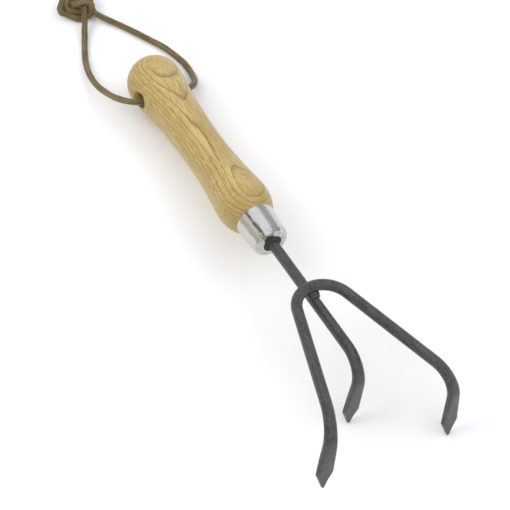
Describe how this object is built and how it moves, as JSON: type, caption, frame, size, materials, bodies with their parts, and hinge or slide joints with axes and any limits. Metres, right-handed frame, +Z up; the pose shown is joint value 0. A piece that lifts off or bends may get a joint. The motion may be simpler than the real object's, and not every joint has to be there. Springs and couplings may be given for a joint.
{
  "type": "hand cultivator",
  "caption": "Short garden hand tool: a turned ash handle with a leather hanging loop, a tapered steel ferrule and bent round-bar prongs with flattened points.",
  "frame": {"origin": "middle of the base of the tool's box, as it lies at rest on a table, leaving out the lace", "axes": "+X towards the prongs, +Z up; the tool lies on its butt, the centre prong's tip and the tip on +Y, so its handle rises 6.6 degrees towards +X and is rolled 20 degrees"},
  "size_m": [0.4248, 0.0924, 0.0689],
  "materials": {
    "ash_wood": "ash with open brown grain, thin satin lacquer",
    "polished_steel": "polished, bright",
    "dark_resin": "rough dark filler",
    "coated_steel": "dark grey satin powder coat",
    "leather_lace": "waxed round leather lace, olive brown"
  },
  "bodies": {
    "tool": {"handle": "ash_wood", "ferrule": "polished_steel", "tang_bedding": "dark_resin", "centre_prong": "coated_steel", "outer_prongs": "coated_steel", "weld_front": "coated_steel", "weld_rear": "coated_steel"},
    "lace": {"lace_loop": "leather_lace", "lace_knot": "leather_lace", "lace_tail_long": "leather_lace", "lace_tail_short": "leather_lace"}
  },
  "joints": [
    {"name": "loop_swing", "type": "hinge", "parent": "tool", "child": "lace", "pos_m": [-0.12316, 0.00655, 0.01887], "axis": [0.0393, 0.9397, -0.3398], "range_deg": [0, 165]}
  ]
}
